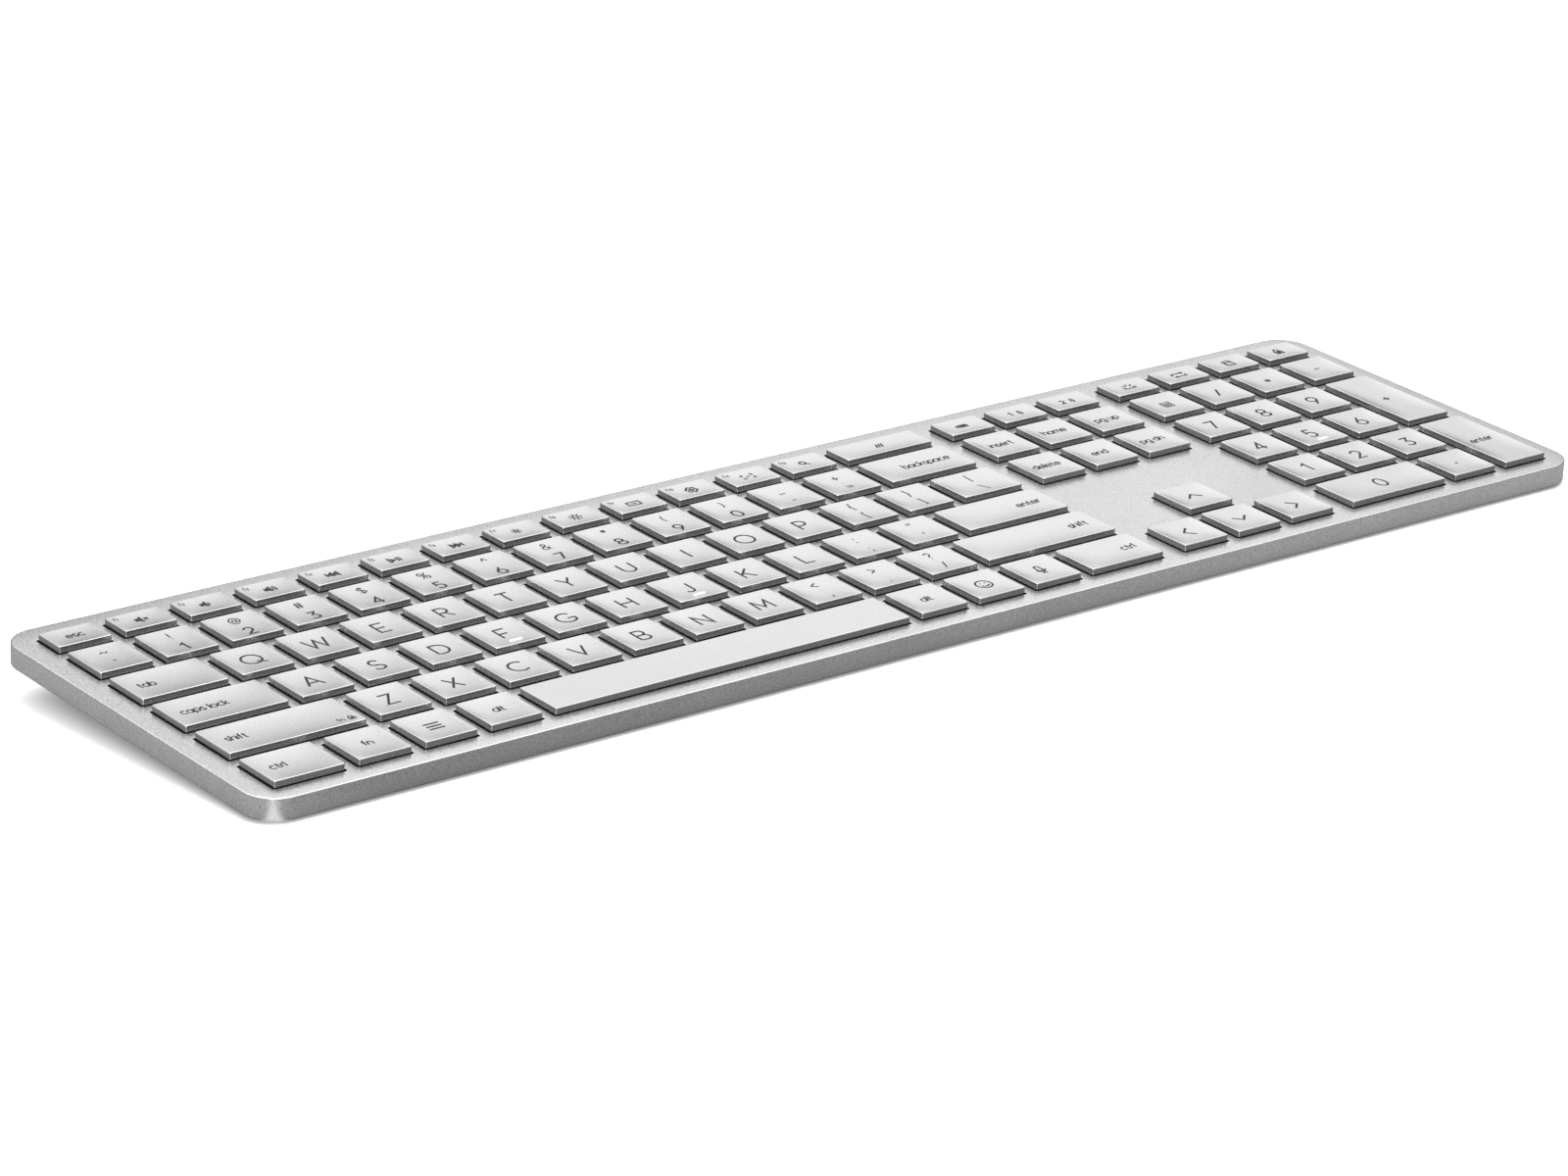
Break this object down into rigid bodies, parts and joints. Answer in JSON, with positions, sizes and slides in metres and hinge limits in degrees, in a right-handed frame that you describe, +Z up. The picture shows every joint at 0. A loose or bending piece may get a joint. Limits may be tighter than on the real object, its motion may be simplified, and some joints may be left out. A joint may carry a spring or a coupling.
{
  "type": "keyboard with numeric keypad",
  "caption": "Slim full-size wireless keyboard with a numeric keypad block: flat silver aluminium deck, separate square keys, raised on a rear foot.",
  "frame": {"origin": "centre of the outline on the table plane, under the rubber feet", "axes": "+X to the user's right along the keyboard, +Y to the back, +Z up"},
  "size_m": [0.4314, 0.1192, 0.0167],
  "materials": {
    "aluminium_deck": "fine blasted, satin",
    "keycap_silver": "satin metallic paint",
    "grey_base": "fine matt texture",
    "steel_plate": "rolled sheet",
    "clear_film": "clear film with printed tracks",
    "dome_rubber": "matt",
    "white_nylon": "moulded, satin",
    "wire_steel": "drawn wire",
    "light_guide": "clear",
    "circuit_board": "solder mask",
    "battery_wrap": "foil pouch",
    "flex_film": "film",
    "port_steel": "drawn, polished",
    "switch_housing": "moulded, satin",
    "switch_knob": "moulded, matt",
    "foot_rubber": "matt",
    "screw_steel": "zinc plated"
  },
  "bodies": {
    "chassis": {"top_cover": "aluminium_deck", "bottom_cover": "grey_base", "rear_foot_housing": "grey_base", "support_plate": "steel_plate", "membrane_circuit": "clear_film", "rubber_domes": "dome_rubber", "scissor_outer_frames": "white_nylon", "scissor_inner_frames": "white_nylon", "stabiliser_wires": "wire_steel", "backlight_guide": "light_guide", "main_circuit_board": "circuit_board", "battery_cell": "battery_wrap", "flex_cable": "flex_film", "usb_c_port": "port_steel", "power_switch_body": "switch_housing", "status_light_pipe": "light_guide", "front_rubber_feet": "foot_rubber", "rear_rubber_feet": "foot_rubber", "case_screws": "screw_steel", "plate_screws": "screw_steel", "foot_screws": "screw_steel"},
    "body_pad_num_lock_key": {"pad_num_lock_key": "keycap_silver"},
    "body_pad_divide_key": {"pad_divide_key": "keycap_silver"},
    "body_pad_multiply_key": {"pad_multiply_key": "keycap_silver"},
    "body_pad_minus_key": {"pad_minus_key": "keycap_silver"},
    "body_pad_7_key": {"pad_7_key": "keycap_silver"},
    "body_pad_8_key": {"pad_8_key": "keycap_silver"},
    "body_pad_9_key": {"pad_9_key": "keycap_silver"},
    "body_pad_plus_key": {"pad_plus_key": "keycap_silver"},
    "body_pad_4_key": {"pad_4_key": "keycap_silver"},
    "body_pad_5_key": {"pad_5_key": "keycap_silver"},
    "body_pad_6_key": {"pad_6_key": "keycap_silver"},
    "body_pad_1_key": {"pad_1_key": "keycap_silver"},
    "body_pad_2_key": {"pad_2_key": "keycap_silver"},
    "body_pad_3_key": {"pad_3_key": "keycap_silver"},
    "body_pad_enter_key": {"pad_enter_key": "keycap_silver"},
    "body_pad_0_key": {"pad_0_key": "keycap_silver"},
    "body_pad_point_key": {"pad_point_key": "keycap_silver"},
    "body_space_bar": {"space_bar": "keycap_silver"},
    "body_enter_key": {"enter_key": "keycap_silver"},
    "body_backspace_key": {"backspace_key": "keycap_silver"},
    "body_tab_key": {"tab_key": "keycap_silver"},
    "body_caps_lock_key": {"caps_lock_key": "keycap_silver"},
    "body_left_shift_key": {"left_shift_key": "keycap_silver"},
    "body_right_shift_key": {"right_shift_key": "keycap_silver"},
    "body_escape_key": {"escape_key": "keycap_silver"},
    "body_up_arrow_key": {"up_arrow_key": "keycap_silver"},
    "body_left_arrow_key": {"left_arrow_key": "keycap_silver"},
    "body_down_arrow_key": {"down_arrow_key": "keycap_silver"},
    "body_right_arrow_key": {"right_arrow_key": "keycap_silver"},
    "body_function_keys": {"function_keys": "keycap_silver"},
    "body_nav_function_keys": {"nav_function_keys": "keycap_silver"},
    "body_pad_function_keys": {"pad_function_keys": "keycap_silver"},
    "body_number_row_keys": {"number_row_keys": "keycap_silver"},
    "body_q_row_keys": {"q_row_keys": "keycap_silver"},
    "body_a_row_keys": {"a_row_keys": "keycap_silver"},
    "body_z_row_keys": {"z_row_keys": "keycap_silver"},
    "body_modifier_keys": {"modifier_keys": "keycap_silver"},
    "body_nav_block_keys": {"nav_block_keys": "keycap_silver"},
    "body_power_switch_knob": {"power_switch_knob": "switch_knob"}
  },
  "joints": [
    {"name": "pad_num_lock_key_travel", "type": "slide", "parent": "chassis", "child": "body_pad_num_lock_key", "axis": [0, 0.0732, -0.9973], "range_m": [0, 0.0015], "stiffness_N_per_m": 250, "springref_m": -0.0012},
    {"name": "pad_divide_key_travel", "type": "slide", "parent": "chassis", "child": "body_pad_divide_key", "axis": [0, 0.0732, -0.9973], "range_m": [0, 0.0015], "stiffness_N_per_m": 250, "springref_m": -0.0012},
    {"name": "pad_multiply_key_travel", "type": "slide", "parent": "chassis", "child": "body_pad_multiply_key", "axis": [0, 0.0732, -0.9973], "range_m": [0, 0.0015], "stiffness_N_per_m": 250, "springref_m": -0.0012},
    {"name": "pad_minus_key_travel", "type": "slide", "parent": "chassis", "child": "body_pad_minus_key", "axis": [0, 0.0732, -0.9973], "range_m": [0, 0.0015], "stiffness_N_per_m": 250, "springref_m": -0.0012},
    {"name": "pad_7_key_travel", "type": "slide", "parent": "chassis", "child": "body_pad_7_key", "axis": [0, 0.0732, -0.9973], "range_m": [0, 0.0015], "stiffness_N_per_m": 250, "springref_m": -0.0012},
    {"name": "pad_8_key_travel", "type": "slide", "parent": "chassis", "child": "body_pad_8_key", "axis": [0, 0.0732, -0.9973], "range_m": [0, 0.0015], "stiffness_N_per_m": 250, "springref_m": -0.0012},
    {"name": "pad_9_key_travel", "type": "slide", "parent": "chassis", "child": "body_pad_9_key", "axis": [0, 0.0732, -0.9973], "range_m": [0, 0.0015], "stiffness_N_per_m": 250, "springref_m": -0.0012},
    {"name": "pad_plus_key_travel", "type": "slide", "parent": "chassis", "child": "body_pad_plus_key", "axis": [0, 0.0732, -0.9973], "range_m": [0, 0.0015], "stiffness_N_per_m": 250, "springref_m": -0.0012},
    {"name": "pad_4_key_travel", "type": "slide", "parent": "chassis", "child": "body_pad_4_key", "axis": [0, 0.0732, -0.9973], "range_m": [0, 0.0015], "stiffness_N_per_m": 250, "springref_m": -0.0012},
    {"name": "pad_5_key_travel", "type": "slide", "parent": "chassis", "child": "body_pad_5_key", "axis": [0, 0.0732, -0.9973], "range_m": [0, 0.0015], "stiffness_N_per_m": 250, "springref_m": -0.0012},
    {"name": "pad_6_key_travel", "type": "slide", "parent": "chassis", "child": "body_pad_6_key", "axis": [0, 0.0732, -0.9973], "range_m": [0, 0.0015], "stiffness_N_per_m": 250, "springref_m": -0.0012},
    {"name": "pad_1_key_travel", "type": "slide", "parent": "chassis", "child": "body_pad_1_key", "axis": [0, 0.0732, -0.9973], "range_m": [0, 0.0015], "stiffness_N_per_m": 250, "springref_m": -0.0012},
    {"name": "pad_2_key_travel", "type": "slide", "parent": "chassis", "child": "body_pad_2_key", "axis": [0, 0.0732, -0.9973], "range_m": [0, 0.0015], "stiffness_N_per_m": 250, "springref_m": -0.0012},
    {"name": "pad_3_key_travel", "type": "slide", "parent": "chassis", "child": "body_pad_3_key", "axis": [0, 0.0732, -0.9973], "range_m": [0, 0.0015], "stiffness_N_per_m": 250, "springref_m": -0.0012},
    {"name": "pad_enter_key_travel", "type": "slide", "parent": "chassis", "child": "body_pad_enter_key", "axis": [0, 0.0732, -0.9973], "range_m": [0, 0.0015], "stiffness_N_per_m": 250, "springref_m": -0.0012},
    {"name": "pad_0_key_travel", "type": "slide", "parent": "chassis", "child": "body_pad_0_key", "axis": [0, 0.0732, -0.9973], "range_m": [0, 0.0015], "stiffness_N_per_m": 250, "springref_m": -0.0012},
    {"name": "pad_point_key_travel", "type": "slide", "parent": "chassis", "child": "body_pad_point_key", "axis": [0, 0.0732, -0.9973], "range_m": [0, 0.0015], "stiffness_N_per_m": 250, "springref_m": -0.0012},
    {"name": "space_bar_travel", "type": "slide", "parent": "chassis", "child": "body_space_bar", "axis": [0, 0.0732, -0.9973], "range_m": [0, 0.0015], "stiffness_N_per_m": 250, "springref_m": -0.0012, "deforming": ["rubber_domes", "scissor_outer_frames", "scissor_inner_frames", "stabiliser_wires"]},
    {"name": "enter_key_travel", "type": "slide", "parent": "chassis", "child": "body_enter_key", "axis": [0, 0.0732, -0.9973], "range_m": [0, 0.0015], "stiffness_N_per_m": 250, "springref_m": -0.0012},
    {"name": "backspace_key_travel", "type": "slide", "parent": "chassis", "child": "body_backspace_key", "axis": [0, 0.0732, -0.9973], "range_m": [0, 0.0015], "stiffness_N_per_m": 250, "springref_m": -0.0012},
    {"name": "tab_key_travel", "type": "slide", "parent": "chassis", "child": "body_tab_key", "axis": [0, 0.0732, -0.9973], "range_m": [0, 0.0015], "stiffness_N_per_m": 250, "springref_m": -0.0012},
    {"name": "caps_lock_key_travel", "type": "slide", "parent": "chassis", "child": "body_caps_lock_key", "axis": [0, 0.0732, -0.9973], "range_m": [0, 0.0015], "stiffness_N_per_m": 250, "springref_m": -0.0012},
    {"name": "left_shift_key_travel", "type": "slide", "parent": "chassis", "child": "body_left_shift_key", "axis": [0, 0.0732, -0.9973], "range_m": [0, 0.0015], "stiffness_N_per_m": 250, "springref_m": -0.0012},
    {"name": "right_shift_key_travel", "type": "slide", "parent": "chassis", "child": "body_right_shift_key", "axis": [0, 0.0732, -0.9973], "range_m": [0, 0.0015], "stiffness_N_per_m": 250, "springref_m": -0.0012},
    {"name": "escape_key_travel", "type": "slide", "parent": "chassis", "child": "body_escape_key", "axis": [0, 0.0732, -0.9973], "range_m": [0, 0.0015], "stiffness_N_per_m": 250, "springref_m": -0.0012},
    {"name": "up_arrow_key_travel", "type": "slide", "parent": "chassis", "child": "body_up_arrow_key", "axis": [0, 0.0732, -0.9973], "range_m": [0, 0.0015], "stiffness_N_per_m": 250, "springref_m": -0.0012},
    {"name": "left_arrow_key_travel", "type": "slide", "parent": "chassis", "child": "body_left_arrow_key", "axis": [0, 0.0732, -0.9973], "range_m": [0, 0.0015], "stiffness_N_per_m": 250, "springref_m": -0.0012},
    {"name": "down_arrow_key_travel", "type": "slide", "parent": "chassis", "child": "body_down_arrow_key", "axis": [0, 0.0732, -0.9973], "range_m": [0, 0.0015], "stiffness_N_per_m": 250, "springref_m": -0.0012},
    {"name": "right_arrow_key_travel", "type": "slide", "parent": "chassis", "child": "body_right_arrow_key", "axis": [0, 0.0732, -0.9973], "range_m": [0, 0.0015], "stiffness_N_per_m": 250, "springref_m": -0.0012},
    {"name": "function_keys_travel", "type": "slide", "parent": "chassis", "child": "body_function_keys", "axis": [0, 0.0732, -0.9973], "range_m": [0, 0.0015], "stiffness_N_per_m": 250, "springref_m": -0.0012},
    {"name": "nav_function_keys_travel", "type": "slide", "parent": "chassis", "child": "body_nav_function_keys", "axis": [0, 0.0732, -0.9973], "range_m": [0, 0.0015], "stiffness_N_per_m": 250, "springref_m": -0.0012},
    {"name": "pad_function_keys_travel", "type": "slide", "parent": "chassis", "child": "body_pad_function_keys", "axis": [0, 0.0732, -0.9973], "range_m": [0, 0.0015], "stiffness_N_per_m": 250, "springref_m": -0.0012},
    {"name": "number_row_keys_travel", "type": "slide", "parent": "chassis", "child": "body_number_row_keys", "axis": [0, 0.0732, -0.9973], "range_m": [0, 0.0015], "stiffness_N_per_m": 250, "springref_m": -0.0012},
    {"name": "q_row_keys_travel", "type": "slide", "parent": "chassis", "child": "body_q_row_keys", "axis": [0, 0.0732, -0.9973], "range_m": [0, 0.0015], "stiffness_N_per_m": 250, "springref_m": -0.0012},
    {"name": "a_row_keys_travel", "type": "slide", "parent": "chassis", "child": "body_a_row_keys", "axis": [0, 0.0732, -0.9973], "range_m": [0, 0.0015], "stiffness_N_per_m": 250, "springref_m": -0.0012},
    {"name": "z_row_keys_travel", "type": "slide", "parent": "chassis", "child": "body_z_row_keys", "axis": [0, 0.0732, -0.9973], "range_m": [0, 0.0015], "stiffness_N_per_m": 250, "springref_m": -0.0012},
    {"name": "modifier_keys_travel", "type": "slide", "parent": "chassis", "child": "body_modifier_keys", "axis": [0, 0.0732, -0.9973], "range_m": [0, 0.0015], "stiffness_N_per_m": 250, "springref_m": -0.0012},
    {"name": "nav_block_keys_travel", "type": "slide", "parent": "chassis", "child": "body_nav_block_keys", "axis": [0, 0.0732, -0.9973], "range_m": [0, 0.0015], "stiffness_N_per_m": 250, "springref_m": -0.0012},
    {"name": "power_switch_slide", "type": "slide", "parent": "chassis", "child": "body_power_switch_knob", "axis": [1, 0, 0], "range_m": [0, 0.0028]}
  ]
}
